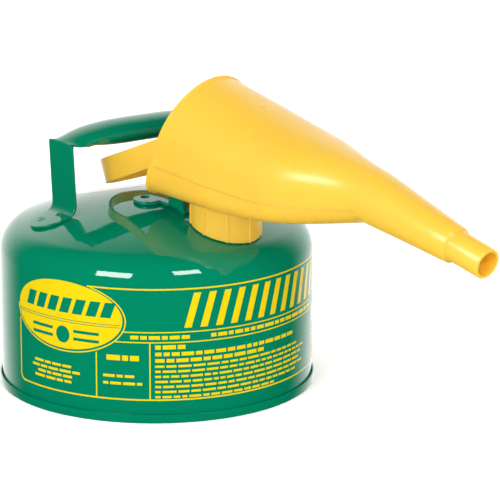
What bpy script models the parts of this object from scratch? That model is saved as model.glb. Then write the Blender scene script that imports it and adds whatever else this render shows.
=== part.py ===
"""A one-gallon safety gas can with a pouring funnel, for Blender 4.5.

Metres, +Z up. The can stands on Z = 0 and pours towards +X. Every part is placed from the can's own
axis, which an empty holds at X = CAN_X, so that the whole object is centred on the origin.
"""

import math

import bmesh
import bpy
from mathutils import Matrix, Vector

GAP = 0.0003  # between two pieces that touch on the real can

# The steel body
CAN_X = -0.10603
WALL_RADIUS = 0.1133
WALL_TOP = 0.0984
SHEET = 0.0008
CAN_SIDES = 64
KNUCKLE_RADIUS = 0.0219
CROWN_CENTRE_Z = -0.13615
KNUCKLE_CENTRE = (WALL_RADIUS - KNUCKLE_RADIUS, WALL_TOP)
CROWN_RADIUS = math.hypot(KNUCKLE_CENTRE[0], WALL_TOP - CROWN_CENTRE_Z) + KNUCKLE_RADIUS
CROWN_EDGE_ANGLE = math.atan2(KNUCKLE_CENTRE[0], WALL_TOP - CROWN_CENTRE_Z)
SEAM_HEIGHT = 0.0065
SEAM_SHEET = 0.0012
PAN_Z = 0.004

# The spout's neck and the flame arrester in it
NECK_X = 0.074
NECK_RADIUS = 0.022
NECK_SHEET = 0.0012
NECK_BOTTOM = 0.117
NECK_TOP = 0.158
LIP_RADIUS = 0.023
LIP_HEIGHT = 0.0028
SCREEN_RADIUS = 0.0184
SCREEN_BOTTOM = 0.092
SCREEN_TOP = 0.1500
SCREEN_HOLE_RADIUS = 0.0016
RIM_SHEET = 0.0025
RIM_DEPTH = 0.004
SCREEN_COLUMNS = 8
SCREEN_ROWS = 4
CLIP_WIRE = 0.0006

# The hinge behind the spout
HINGE_X = 0.0395
HINGE_Z = 0.161
PIN_RADIUS = 0.0025
BORE_RADIUS = PIN_RADIUS + GAP
EAR_MIDDLE = 0.0155
EAR_SHEET = 0.002
EAR_RADIUS = 0.006
BRACKET_SHEET = 0.0024
BRACKET_FRONT = 0.049
TAB_RADIUS = 0.0115
TAB_REACH = 0.0286
WELD_HOLE_RADIUS = 0.003
PIN_HEAD = 0.0012
PIN_TAIL = 0.0025
RETAINER_HEIGHT = 0.0014

# The lid, from the neck's lip upwards
LID_RADIUS = 0.0252
LID_SHEET = 0.0012
GASKET_SHEET = 0.0025
GASKET_BOTTOM = NECK_TOP + GAP
LID_UNDER = GASKET_BOTTOM + GASKET_SHEET + GAP
WASHER_SHEET = 0.0015
WASHER_RADIUS = 0.014
LEVER_SHEET = 0.0022
LEVER_WIDTH = 0.023
LEVER_Z = LID_UNDER + LID_SHEET + GAP + LEVER_SHEET / 2
LEVER_FRONT = NECK_X + 0.015
LEVER_KNEE = 0.0255
LEVER_TAIL = (0.0130, 0.1770)
LEVER_BEND = 0.006
RIVET_RADIUS = 0.0025
RIVET_HEAD = 0.0048
RIVET_TAIL = 0.0042
SPRING_X = 0.0285
SPRING_RADIUS = 0.0042
SPRING_WIRE = 0.0006
SPRING_TURNS = 5

# The carrying handle, along its own length, which is turned from +X
HANDLE_X = -0.0175
HANDLE_Y = 0.0045
HANDLE_TURN = math.radians(82)
STRAP_HALF_WIDTH = 0.0155
STRAP_SHEET = 0.002
FOOT_CENTRE = 0.080
LEG_FOOT = 0.0686
LEG_HEAD = 0.0712
LEG_TOP = 0.1801
GRIP_TOP = 0.1912
FOOT_FADE_LOW = 0.132
FOOT_FADE_HIGH = 0.165
GRIP_START = 0.0704
GRIP_BLEND = 0.021
GRIP_ARCH = 3.4
FOOT_BEND = 0.008
HEAD_BEND = 0.0025
GRIP_HALF_DEPTH = 0.0079
GRIP_HALF_WIDTH = 0.0146
GRIP_SEAM_ANGLE = math.radians(164)
GRIP_SHEET_HALF = 0.030

# The funnel
FUNNEL_WALL = 0.002
MOUTH_BOTTOM = Vector((0.028, 0, 0.1470))
MOUTH_TOP = Vector((0.0660, 0, 0.2335))
MOUTH_HALF_WIDTH = 0.0402
BEAD = 0.0009
NOZZLE_START = Vector((0.222, 0, 0.1755))
NOZZLE_DROP = math.radians(14.2)
NOZZLE_RADIUS = 0.0188
STEP_RADIUS = 0.0127
STEP_AT = 0.077
TIP_RADIUS = 0.0105
TIP_AT = 0.1055
COLLAR_RADIUS = 0.0252
COLLAR_BORE = 0.0234
COLLAR_SLOT_HALF = 0.019
COLLAR_TOP = 0.1535
COLLAR_BOTTOM = CROWN_CENTRE_Z + CROWN_RADIUS - 0.027
COLLAR_TRIM = 0.0012
COLLAR_RIBS = 7
RIB_RADIUS = 0.0008
BELL_HALF_WIDTHS = ((0, MOUTH_HALF_WIDTH), (0.3, 0.0422), (0.58, 0.0402), (1, NOZZLE_RADIUS))
BELL_SAG = 0.0065
BELL_DIP = 0.0008
BELL_SQUARENESS = 5.0
BELL_ROUNDNESS = 2.0
BELL_SIDES = 36
BELL_STATIONS = 11
HOOP_RADIUS = 0.0312
HOOP_CENTRE = Vector((-0.0112, 0, 0.1597))
HOOP_TILT = math.radians(21.5)
HOOP_HEIGHT = 0.0178
HOOP_REACH = 0.075


def paint(name, colour, roughness, metallic=0.0):
    """A plain Principled material."""
    material = bpy.data.materials.new(name)
    material.use_nodes = True
    shader = material.node_tree.nodes["Principled BSDF"]
    shader.inputs["Base Color"].default_value = (*colour, 1)
    shader.inputs["Roughness"].default_value = roughness
    shader.inputs["Metallic"].default_value = metallic
    return material


def new_collection(name):
    collection = bpy.data.collections.new(name)
    bpy.context.scene.collection.children.link(collection)
    return collection


def new_empty(name, location, parent=None):
    empty = bpy.data.objects.new(name, None)
    empty.location = location
    empty.parent = parent
    empty.empty_display_size = 0.02
    parts.objects.link(empty)
    return empty


def hang(obj, parent):
    """Parents an object that is placed from the can's axis to an empty somewhere else."""
    obj.parent = parent
    if parent is not can_axis:
        obj.matrix_parent_inverse = Matrix.Translation(-parent.location)


def add(name, data, material, parent):
    obj = bpy.data.objects.new(name, data)
    data.materials.append(material)
    parts.objects.link(obj)
    hang(obj, parent)
    return obj


def as_cutter(obj):
    """Moves an object out of the part, to be used by a Boolean only."""
    parts.objects.unlink(obj)
    cutters.objects.link(obj)
    obj.hide_render = True
    obj.display_type = "WIRE"
    return obj


def boolean(obj, other, operation="DIFFERENCE"):
    modifier = obj.modifiers.new(other.name, "BOOLEAN")
    modifier.operation = operation
    modifier.solver = "EXACT"
    modifier.object = as_cutter(other) if other.name in parts.objects else other
    return obj


def arc(centre, radius, start, end, steps):
    """Points on an arc in a plane, its angles in radians from the first axis towards the second."""
    angles = [start + (end - start) * i / steps for i in range(steps + 1)]
    return [(centre[0] + radius * math.cos(a), centre[1] + radius * math.sin(a)) for a in angles]


def turned(name, profile, material, parent, steps=48, solidify=0.0):
    """(radius, height) points turned about Z. A closed profile ends where it starts, or on the axis."""
    edges = [(i, i + 1) for i in range(len(profile) - 1)]
    if not solidify and profile[0][0] > 0:
        edges.append((len(profile) - 1, 0))
    mesh = bpy.data.meshes.new(name)
    mesh.from_pydata([(r, 0, z) for r, z in profile], edges, [])
    obj = add(name, mesh, material, parent)
    screw = obj.modifiers.new("Turn", "SCREW")
    screw.steps = steps
    screw.render_steps = steps
    screw.use_merge_vertices = True
    screw.merge_threshold = 0.000001
    if solidify:
        shell = obj.modifiers.new("Sheet", "SOLIDIFY")
        shell.thickness = solidify
        shell.offset = -1
    return obj


def solid_from_curve(curve, name, material, parent):
    """Turns a curve into a mesh object, its caps welded to its sides."""
    helper = bpy.data.objects.new(name, curve)
    parts.objects.link(helper)
    graph = bpy.context.evaluated_depsgraph_get()
    mesh = bpy.data.meshes.new_from_object(helper.evaluated_get(graph))
    bpy.data.objects.remove(helper)
    shape = bmesh.new()
    shape.from_mesh(mesh)
    bmesh.ops.remove_doubles(shape, verts=shape.verts, dist=0.00001)
    bmesh.ops.recalc_face_normals(shape, faces=shape.faces)
    shape.to_mesh(mesh)
    shape.free()
    mesh.name = name
    mesh.materials.clear()
    return add(name, mesh, material, parent)


def plate(name, outline, thickness, material, parent):
    """A flat outline in XY, extruded to both sides of Z = 0."""
    curve = bpy.data.curves.new(name, "CURVE")
    curve.dimensions = "2D"
    curve.fill_mode = "BOTH"
    curve.extrude = thickness / 2
    spline = curve.splines.new("POLY")
    spline.points.add(len(outline) - 1)
    spline.use_cyclic_u = True
    for point, (x, y) in zip(spline.points, outline):
        point.co = (x, y, 0, 1)
    return solid_from_curve(curve, name, material, parent)


def side_plate(name, outline, thickness, material, parent, middle=0.0):
    """A plate whose outline is in XZ, centred on Y = middle."""
    obj = plate(name, outline, thickness, material, parent)
    obj.rotation_euler = (math.pi / 2, 0, 0)
    obj.location = (0, middle, 0)
    return obj


def wire(name, points, radius, material, parent):
    curve = bpy.data.curves.new(name, "CURVE")
    curve.dimensions = "3D"
    curve.bevel_depth = radius
    curve.bevel_resolution = 2
    curve.use_fill_caps = True
    spline = curve.splines.new("POLY")
    spline.points.add(len(points) - 1)
    for point, place in zip(spline.points, points):
        point.co = (*place, 1)
    return solid_from_curve(curve, name, material, parent)


def cylinder(name, radius, length, location, material, parent, along_y=False, sides=32):
    """A cylinder centred on its location."""
    shape = bmesh.new()
    bmesh.ops.create_cone(
        shape, cap_ends=True, segments=sides, radius1=radius, radius2=radius, depth=length
    )
    mesh = bpy.data.meshes.new(name)
    shape.to_mesh(mesh)
    shape.free()
    obj = add(name, mesh, material, parent)
    obj.location = location
    if along_y:
        obj.rotation_euler = (math.pi / 2, 0, 0)
    return obj


def box(name, low, high, material, parent):
    shape = bmesh.new()
    bmesh.ops.create_cube(shape, size=1)
    mesh = bpy.data.meshes.new(name)
    shape.to_mesh(mesh)
    shape.free()
    obj = add(name, mesh, material, parent)
    obj.location = (Vector(low) + Vector(high)) / 2
    obj.scale = Vector(high) - Vector(low)
    return obj


def ribbon(line, thickness):
    """The outline of a sheet of this thickness along a line of points in a plane."""
    points = [Vector(p) for p in line]
    sides = ([], [])
    for i, point in enumerate(points):
        along = points[min(i + 1, len(points) - 1)] - points[max(i - 1, 0)]
        across = Vector((-along.y, along.x)).normalized() * thickness / 2
        sides[0].append(tuple(point + across))
        sides[1].append(tuple(point - across))
    return sides[0] + sides[1][::-1]


def rounded_line(corners, radius, steps=4):
    """A line through corners, each of which but the two ends is an arc of this radius."""
    corners = [Vector(c) for c in corners]
    line = [corners[0]]
    for before, corner, after in zip(corners, corners[1:], corners[2:]):
        back = (before - corner).normalized()
        on = (after - corner).normalized()
        half = back.angle(on) / 2
        reach = radius / math.tan(half)
        centre = corner + (back + on).normalized() * radius / math.sin(half)
        start = corner + back * reach - centre
        end = corner + on * reach - centre
        line += [centre + start.slerp(end, i / steps) * radius for i in range(steps + 1)]
    return line + [corners[-1]]


def loft(name, rings, material, parent, looped):
    """A skin through rings of points. The rings make a loop, or the two end rings are capped."""
    shape = bmesh.new()
    loops = [[shape.verts.new(p) for p in ring] for ring in rings]
    pairs = list(zip(loops, loops[1:]))
    if looped:
        pairs.append((loops[-1], loops[0]))
    else:
        shape.faces.new(loops[0])
        shape.faces.new(loops[-1])
    for first, second in pairs:
        for i in range(len(first)):
            j = (i + 1) % len(first)
            shape.faces.new((first[i], first[j], second[j], second[i]))
    bmesh.ops.recalc_face_normals(shape, faces=shape.faces)
    mesh = bpy.data.meshes.new(name)
    shape.to_mesh(mesh)
    shape.free()
    return add(name, mesh, material, parent)


def crown_height(x, y, lift=0.0):
    """The height of the can's domed top over a place, or of a surface this far off it."""
    return CROWN_CENTRE_Z + math.sqrt((CROWN_RADIUS + lift) ** 2 - x * x - y * y)


def crown_line(lift, edge_radius, steps):
    """The domed top's profile, or one this far off it, from the axis out to a radius."""
    radii = [edge_radius * i / steps for i in range(steps + 1)]
    return [(r, crown_height(r, 0, lift)) for r in radii]


# The steel body


def can_shell():
    crown = [
        (CROWN_RADIUS * math.sin(a), CROWN_CENTRE_Z + CROWN_RADIUS * math.cos(a))
        for a in (CROWN_EDGE_ANGLE * i / 6 for i in range(6))
    ]
    knuckle = arc(KNUCKLE_CENTRE, KNUCKLE_RADIUS, math.pi / 2 - CROWN_EDGE_ANGLE, 0, 5)
    foot = (WALL_RADIUS, SEAM_SHEET + GAP)
    profile = [*crown, *knuckle, foot]
    shell = turned("can_shell", profile, green, can_axis, steps=CAN_SIDES, solidify=SHEET)
    middle = (NECK_X, 0, WALL_TOP + KNUCKLE_RADIUS)
    hole = cylinder("neck_hole", NECK_RADIUS + GAP, 0.06, middle, green, can_axis)
    return boolean(shell, hole)


def can_base():
    """The bottom pan, rolled round the wall's foot into the seam that the can stands on."""
    outer = WALL_RADIUS + GAP + SEAM_SHEET
    inner = WALL_RADIUS - SHEET - GAP
    well = inner - SEAM_SHEET
    round_off = 0.0007
    profile = [
        (0, PAN_Z + SHEET),
        (well - round_off, PAN_Z + SHEET),
        (well, PAN_Z + SHEET + round_off),
        (well, SEAM_HEIGHT - round_off),
        (inner, SEAM_HEIGHT - round_off),
        (inner, SEAM_SHEET),
        (outer - SEAM_SHEET, SEAM_SHEET),
        (outer - SEAM_SHEET, SEAM_HEIGHT),
        (outer - round_off, SEAM_HEIGHT),
        (outer, SEAM_HEIGHT - round_off),
        (outer, round_off),
        (outer - round_off, 0),
        (well + round_off, 0),
        (well, round_off),
        (well - round_off, PAN_Z),
        (0, PAN_Z),
    ]
    return turned("can_base", profile, green, can_axis, steps=CAN_SIDES)


def near_dome(height):
    """How far the strap follows the dome's slope at this height, from 1 on its feet to 0."""
    share = (FOOT_FADE_HIGH - height) / (FOOT_FADE_HIGH - FOOT_FADE_LOW)
    return min(max(share, 0), 1)


def handle_line(way):
    """The strap's middle line over one half, from the tip of its foot to the middle of the grip."""
    turn = Matrix.Rotation(HANDLE_TURN, 2)

    def foot(along):
        spot = turn @ Vector((way * along, 0))
        height = crown_height(HANDLE_X + spot.x, HANDLE_Y + spot.y, GAP + STRAP_SHEET / 2)
        return Vector((along, height))

    round_end = [math.radians(a) for a in (84, 62, 38, 12)]
    feet = [foot(FOOT_CENTRE + STRAP_HALF_WIDTH * math.sin(a)) for a in round_end]
    rise = GRIP_TOP - LEG_TOP
    arch = [
        Vector((along, GRIP_TOP - rise * (along / LEG_HEAD) ** GRIP_ARCH))
        for along in (0.0665, 0.0635, 0.0605, 0.0575, 0.0535, 0.0490, 0.043, 0.034, 0.022, 0.010)
    ]
    corners = [feet[-1], foot(LEG_FOOT), Vector((LEG_HEAD, LEG_TOP)), arch[0]]
    foot_bend = rounded_line(corners[:3], FOOT_BEND)
    head_bend = rounded_line(corners[1:], HEAD_BEND)
    return feet[:-1] + foot_bend[:-1] + head_bend[1:] + arch[1:]


def handle_section(rolled, half_width, most_depth):
    """The outline of the sheet across the strap, from flat to rolled into the grip."""
    points = 13
    wrap = max(rolled, 0.001) * GRIP_SEAM_ANGLE
    reach = half_width + (GRIP_SHEET_HALF - half_width) * rolled
    curl = (1 - rolled) * wrap / reach
    across = 1 / (curl + rolled / GRIP_HALF_WIDTH)
    down = min(1 / (curl + rolled / GRIP_HALF_DEPTH), most_depth / (1 - math.cos(wrap)))
    angles = [(2 * i / (points - 1) - 1) * wrap for i in range(points)]
    line = [(across * math.sin(a), down * (math.cos(a) - 1)) for a in angles]
    return ribbon(line, STRAP_SHEET)


def carrying_handle():
    """A steel strap with welded feet, its middle rolled down at both edges into the grip."""
    turn = Matrix.Rotation(HANDLE_TURN, 3, "Z")
    middle = Vector((HANDLE_X, HANDLE_Y, 0))

    def ring(point, travel, way):
        outward = Vector((travel.y, -travel.x)).normalized()
        on_foot = point.y < FOOT_FADE_LOW and point.x > FOOT_CENTRE
        past = point.x - FOOT_CENTRE if on_foot else 0
        half_width = math.sqrt(STRAP_HALF_WIDTH**2 - past**2)
        rolled = 0
        if point.x < GRIP_START and point.y > LEG_TOP - STRAP_SHEET:
            rolled = 1 - max(1 - (GRIP_START - point.x) / GRIP_BLEND, 0) ** 1.5
        share = min(point.x / LEG_HEAD, 1) ** GRIP_ARCH
        most_depth = 2 * GRIP_HALF_DEPTH * (1 - share)
        centre = middle + turn @ Vector((way * point.x, 0, 0))
        level = crown_height(centre.x, centre.y)
        spots = []
        for side, drop in handle_section(rolled, half_width, most_depth):
            spot = point + outward * drop
            place = middle + turn @ Vector((way * spot.x, side, spot.y))
            edge = middle + turn @ Vector((way * point.x, side, 0))
            place.z += near_dome(point.y) * (crown_height(edge.x, edge.y) - level)
            spots.append(place)
        return spots

    rings = []
    for way in (-1, 1):
        line = handle_line(way) + [Vector((0, GRIP_TOP))]
        half = [
            ring(point, line[min(i + 1, len(line) - 1)] - line[max(i - 1, 0)], way)
            for i, point in enumerate(line)
        ]
        rings += half if way < 0 else half[-2::-1]
    return loft("carrying_handle", rings, green, can_axis, looped=False)


def spout_neck():
    inner = NECK_RADIUS - NECK_SHEET
    profile = [
        (inner, NECK_TOP),
        (LIP_RADIUS - 0.0005, NECK_TOP),
        (LIP_RADIUS, NECK_TOP - 0.0006),
        (LIP_RADIUS, NECK_TOP - LIP_HEIGHT + 0.0010),
        (NECK_RADIUS, NECK_TOP - LIP_HEIGHT),
        (NECK_RADIUS, NECK_BOTTOM),
        (inner, NECK_BOTTOM),
    ]
    neck = turned("spout_neck", profile, green, can_axis)
    neck.location.x = NECK_X


def flame_arrester():
    """A perforated tube in the neck, its bottom closed, held by a wire clip under the lip."""
    inner = SCREEN_RADIUS - SHEET
    tube = [
        (SCREEN_RADIUS, SCREEN_TOP),
        (SCREEN_RADIUS, SCREEN_BOTTOM),
        (inner, SCREEN_BOTTOM),
        (inner, SCREEN_TOP),
    ]
    screen = turned("arrester_screen", tube, steel, can_axis, steps=32)
    screen.location.x = NECK_X
    spacing = (SCREEN_TOP - SCREEN_BOTTOM) / (SCREEN_ROWS + 1)
    for row in range(SCREEN_ROWS):
        height = SCREEN_BOTTOM + spacing * (row + 1)
        for column in range(SCREEN_COLUMNS // 2):
            angle = math.pi * (column + (row % 2) / 2) / (SCREEN_COLUMNS // 2)
            drill = cylinder(
                f"drill_{row}_{column}", SCREEN_HOLE_RADIUS, 0.06,
                (NECK_X, 0, height), steel, can_axis, along_y=True, sides=6,
            )
            drill.rotation_euler = (math.pi / 2, 0, angle)
            boolean(screen, drill)

    bore = NECK_RADIUS - NECK_SHEET
    low = SCREEN_TOP + GAP
    rim = turned(
        "arrester_rim",
        [
            (bore - GAP, low + RIM_SHEET),
            (bore - GAP, low - RIM_DEPTH),
            (SCREEN_RADIUS + GAP, low - RIM_DEPTH),
            (SCREEN_RADIUS + GAP, low),
            (inner, low),
            (inner, low + RIM_SHEET),
        ],
        steel, can_axis, steps=32,
    )
    rim.location.x = NECK_X

    top = SCREEN_BOTTOM - GAP
    cap = turned(
        "arrester_cap",
        [
            (0, top),
            (SCREEN_RADIUS + GAP, top),
            (SCREEN_RADIUS + GAP, top + RIM_DEPTH),
            (SCREEN_RADIUS + GAP + SHEET, top + RIM_DEPTH),
            (SCREEN_RADIUS + GAP + SHEET, top - SHEET),
            (0, top - SHEET),
        ],
        steel, can_axis, steps=32,
    )
    cap.location.x = NECK_X

    ring = bore - GAP - CLIP_WIRE
    turns = arc((NECK_X, 0), ring, math.radians(15), math.radians(345), 28)
    height = low + RIM_SHEET + GAP + CLIP_WIRE
    wire("arrester_clip", [(x, y, height) for x, y in turns], CLIP_WIRE, steel, can_axis)


def hinge_bracket():
    """A plate welded to the dome behind the spout, with two tabs and two ears for the pin."""
    back = TAB_REACH - TAB_RADIUS
    half = EAR_MIDDLE + EAR_SHEET / 2
    right = arc((TAB_RADIUS, -back), TAB_RADIUS, 0, -math.pi, 10)
    left = arc((TAB_RADIUS, back), TAB_RADIUS, math.pi, 0, 10)
    outline = [(BRACKET_FRONT, -half), (2 * TAB_RADIUS, -half), *right, *left]
    outline += [(2 * TAB_RADIUS, half), (BRACKET_FRONT, half)]
    bracket = plate("hinge_bracket", outline, 0.04, green, can_axis)
    bracket.location.z = CROWN_CENTRE_Z + CROWN_RADIUS

    low = crown_line(GAP, 0.06, 6)
    high = crown_line(GAP + BRACKET_SHEET, 0.06, 6)
    skin = turned("dome_skin", [*high, *low[::-1]], green, can_axis, steps=64)
    boolean(bracket, skin, "INTERSECT")

    def inside_plate(x):
        return (x, crown_height(x, half, GAP + BRACKET_SHEET / 2))

    for name, side in (("ear_right", -1), ("ear_left", 1)):
        top = arc((HINGE_X, HINGE_Z), EAR_RADIUS, math.radians(-20), math.radians(190), 12)
        foot = [inside_plate(0.031), inside_plate(BRACKET_FRONT - 0.001)]
        ear = side_plate(name, [*foot, *top], EAR_SHEET, green, can_axis, side * EAR_MIDDLE)
        boolean(bracket, ear, "UNION")
        hole = (TAB_RADIUS - 0.0032, side * (back + 0.0011), CROWN_CENTRE_Z + CROWN_RADIUS)
        drill = cylinder(f"{name}_weld_hole", WELD_HOLE_RADIUS, 0.04, hole, green, can_axis, sides=20)
        boolean(bracket, drill)
    boolean(bracket, hinge_bore("bracket_bore"))


def hinge_bore(name):
    centre = (HINGE_X, 0, HINGE_Z)
    return cylinder(name, BORE_RADIUS, 0.06, centre, steel, can_axis, along_y=True, sides=24)


def hinge_pin():
    """A pin with a formed head at one end, and a push-on retainer at the other."""
    ears = EAR_MIDDLE + EAR_SHEET / 2
    head = ears + GAP + PIN_HEAD
    profile = [
        (0, head),
        (PIN_RADIUS + 0.0008, head),
        (PIN_RADIUS + PIN_HEAD, head - PIN_HEAD / 2),
        (PIN_RADIUS + PIN_HEAD, ears + GAP),
        (PIN_RADIUS, ears + GAP),
        (PIN_RADIUS, 0.0005 - ears - PIN_TAIL),
        (PIN_RADIUS - 0.0005, -ears - PIN_TAIL),
        (0, -ears - PIN_TAIL),
    ]
    retainer = [
        (PIN_RADIUS + RETAINER_HEIGHT, -ears - GAP),
        (PIN_RADIUS + RETAINER_HEIGHT, -ears - GAP - 0.0008),
        (PIN_RADIUS + GAP, -ears - GAP - RETAINER_HEIGHT),
        (PIN_RADIUS + GAP, -ears - GAP),
    ]
    for name, outline in (("hinge_pin", profile), ("pin_retainer", retainer)):
        piece = turned(name, outline, steel, can_axis, steps=24)
        piece.rotation_euler = (math.pi / 2, 0, 0)
        piece.location = (HINGE_X, 0, HINGE_Z)


def lid_spring():
    """A compression spring between the bracket and the lever's tail, which it pushes up."""
    low = crown_height(SPRING_X, SPRING_RADIUS, 0.001 + GAP + BRACKET_SHEET) + SPRING_WIRE
    high = LEVER_Z - LEVER_SHEET / 2 - GAP - SPRING_WIRE
    steps = 10 * SPRING_TURNS
    points = []
    for i in range(steps + 1):
        angle = 2 * math.pi * SPRING_TURNS * i / steps
        across = SPRING_X + SPRING_RADIUS * math.cos(angle)
        points.append((across, SPRING_RADIUS * math.sin(angle), low + (high - low) * i / steps))
    wire("lid_spring", points, SPRING_WIRE, steel, can_axis)


# The lid, which swings on the hinge pin


def lid_cap():
    skirt = GASKET_BOTTOM + 0.0001
    inner = LID_RADIUS - LID_SHEET
    top = LID_UNDER + LID_SHEET
    profile = [
        (RIVET_RADIUS + GAP, top),
        (LID_RADIUS - 0.0012, top),
        (LID_RADIUS, top - 0.0010),
        (LID_RADIUS, skirt),
        (inner, skirt),
        (inner, LID_UNDER),
        (RIVET_RADIUS + GAP, LID_UNDER),
    ]
    turned("lid_cap", profile, green, lid_pivot).location.x = NECK_X


def disc_with_hole(name, radius, low, high, material):
    hole = RIVET_RADIUS + GAP
    profile = [(radius, high), (radius, low), (hole, low), (hole, high)]
    turned(name, profile, material, lid_pivot, steps=40).location.x = NECK_X


def lid_rivet():
    top = LEVER_Z + LEVER_SHEET / 2 + GAP
    low = GASKET_BOTTOM - GAP - WASHER_SHEET - GAP
    profile = [
        (0, top + 0.0018),
        (0.0030, top + 0.0015),
        (RIVET_HEAD, top + 0.0004),
        (RIVET_HEAD, top),
        (RIVET_RADIUS, top),
        (RIVET_RADIUS, low),
        (RIVET_TAIL, low),
        (RIVET_TAIL, low - 0.0012),
        (0, low - 0.0012),
    ]
    turned("lid_rivet", profile, steel, lid_pivot, steps=24).location.x = NECK_X


def lid_lever():
    """A strap over the lid and back past the hinge, its tail raised for the thumb."""
    corners = [(LEVER_FRONT, LEVER_Z), (LEVER_KNEE, LEVER_Z), LEVER_TAIL]
    line = rounded_line(corners, LEVER_BEND)
    outline = ribbon(line, LEVER_SHEET)
    lever = side_plate("lid_lever", outline, LEVER_WIDTH, steel, lid_pivot)
    place = (HINGE_X, 0, HINGE_Z)
    barrel = cylinder(
        "lever_barrel", EAR_RADIUS - 0.0013, 2 * EAR_MIDDLE - EAR_SHEET - 2 * GAP,
        place, steel, lid_pivot, along_y=True,
    )
    boolean(lever, barrel, "UNION")
    boolean(lever, hinge_bore("lever_bore"))
    hole = (NECK_X, 0, LEVER_Z)
    boolean(lever, cylinder("lever_hole", RIVET_RADIUS + GAP, 0.02, hole, steel, lid_pivot))


# The funnel, one moulding on the real can, which lifts off the neck


def bell_ring(share, outset):
    """Points round the funnel's bell, at this share of its length and this far off its outer face."""
    level = Vector((math.sin(NOZZLE_DROP), 0, math.cos(NOZZLE_DROP)))
    low = MOUTH_BOTTOM.lerp(NOZZLE_START - level * NOZZLE_RADIUS, share)
    low.z -= BELL_SAG * math.sin(math.pi * share**1.3)
    high = MOUTH_TOP.lerp(NOZZLE_START + level * NOZZLE_RADIUS, share)
    high.z -= BELL_DIP * math.sin(math.pi * share)
    middle = (low + high) / 2
    rise = (high - low) / 2
    half_width = between(BELL_HALF_WIDTHS, share)
    points = []
    for i in range(BELL_SIDES):
        angle = 2 * math.pi * i / BELL_SIDES
        up, side = math.cos(angle), math.sin(angle)
        corner = BELL_SQUARENESS if up < 0 else BELL_ROUNDNESS
        squareness = corner + (2 - corner) * share**3
        swell = (abs(up) ** squareness + abs(side) ** squareness) ** (-1 / squareness)
        shrink_up = 1 + outset / rise.length
        shrink_side = 1 + outset / half_width
        width = side * swell * half_width * shrink_side
        points.append(middle + rise * (up * swell * shrink_up) + Vector((0, width, 0)))
    return points


def between(keys, share):
    """A value read between (share, value) keys, each stretch eased at both ends."""
    for (start, first), (end, second) in zip(keys, keys[1:]):
        if share <= end:
            part = (share - start) / (end - start)
            return first + (second - first) * part * part * (3 - 2 * part)
    return keys[-1][1]


def mouth_block(name, past):
    """A block that fills everything behind the mouth's plane, or past it by this much."""
    rise = MOUTH_TOP - MOUTH_BOTTOM
    block = box(name, (-0.2, -0.1, -0.1), (past, 0.1, 0.2), yellow, funnel_lift)
    block.rotation_euler = (0, math.atan2(rise.x, rise.z), 0)
    block.location = MOUTH_BOTTOM + block.rotation_euler.to_matrix() @ block.location
    return block


def funnel_bell():
    """The hood over the lid, drawn down to the nozzle, open below for the neck and the hinge."""
    bead = [(0.000, BEAD - 0.0007), (0.003, BEAD), (0.012, BEAD), (0.017, 0.0006), (0.020, 0)]
    body = [i / BELL_STATIONS for i in range(1, BELL_STATIONS + 1)]
    outer = [bell_ring(share, outset) for share, outset in bead]
    outer += [bell_ring(share, 0) for share in body]
    inner = [bell_ring(share, -FUNNEL_WALL) for share in [*body[::-1], 0.012, 0]]
    bell = loft("funnel_bell", outer + inner, yellow, funnel_lift, looped=True)
    middle = (NECK_X, 0, COLLAR_TOP)
    boolean(bell, cylinder("bell_neck_hole", COLLAR_BORE, 0.02, middle, yellow, funnel_lift, sides=48))
    low = (0, -COLLAR_SLOT_HALF, COLLAR_TOP - 0.02)
    high = (NECK_X, COLLAR_SLOT_HALF, COLLAR_TOP + 0.006)
    boolean(bell, box("bell_slot", low, high, yellow, funnel_lift))


def funnel_collar():
    """A ribbed sleeve down from the bell round the neck, open behind for the hinge."""
    low, high = COLLAR_BOTTOM, COLLAR_TOP + 0.006
    profile = [(COLLAR_RADIUS, high), (COLLAR_RADIUS, low), (COLLAR_BORE, low), (COLLAR_BORE, high)]
    collar = turned("funnel_collar", profile, yellow, funnel_lift)
    collar.location.x = NECK_X
    for i in range(COLLAR_RIBS):
        angle = math.radians(-120 + 240 * i / (COLLAR_RIBS - 1))
        side = Vector((math.cos(angle), math.sin(angle), 0)) * COLLAR_RADIUS
        middle = side + Vector((NECK_X, 0, (low + high) / 2))
        rib = cylinder(f"rib_{i}", RIB_RADIUS, high - low, middle, yellow, funnel_lift, sides=8)
        boolean(collar, rib, "UNION")
    corners = (0, -COLLAR_SLOT_HALF, low - 0.01), (NECK_X, COLLAR_SLOT_HALF, high + 0.01)
    boolean(collar, box("collar_slot", *corners, yellow, funnel_lift))
    shares = [i / BELL_STATIONS for i in range(BELL_STATIONS + 1)]
    block = [bell_ring(share, GAP) for share in shares]
    boolean(collar, loft("bell_block", block, yellow, funnel_lift, looped=False))
    dome = [*crown_line(COLLAR_TRIM, 0.118, 8), (0.118, 0.09), (0, 0.09)]
    boolean(collar, turned("dome_under_collar", dome, green, can_axis, steps=64))


def funnel_nozzle():
    wall = FUNNEL_WALL
    profile = [
        (NOZZLE_RADIUS, GAP),
        (NOZZLE_RADIUS - wall, GAP),
        (STEP_RADIUS - wall, STEP_AT),
        (TIP_RADIUS - wall - 0.0002, STEP_AT + 0.004),
        (TIP_RADIUS - wall - 0.0005, TIP_AT),
        (TIP_RADIUS, TIP_AT),
        (TIP_RADIUS + 0.0003, STEP_AT + 0.0005),
        (STEP_RADIUS - 0.0006, STEP_AT),
        (STEP_RADIUS, STEP_AT - 0.0006),
    ]
    nozzle = turned("funnel_nozzle", profile, yellow, funnel_lift, steps=40)
    nozzle.rotation_euler = (0, math.pi / 2 + NOZZLE_DROP, 0)
    nozzle.location = NOZZLE_START


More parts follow.
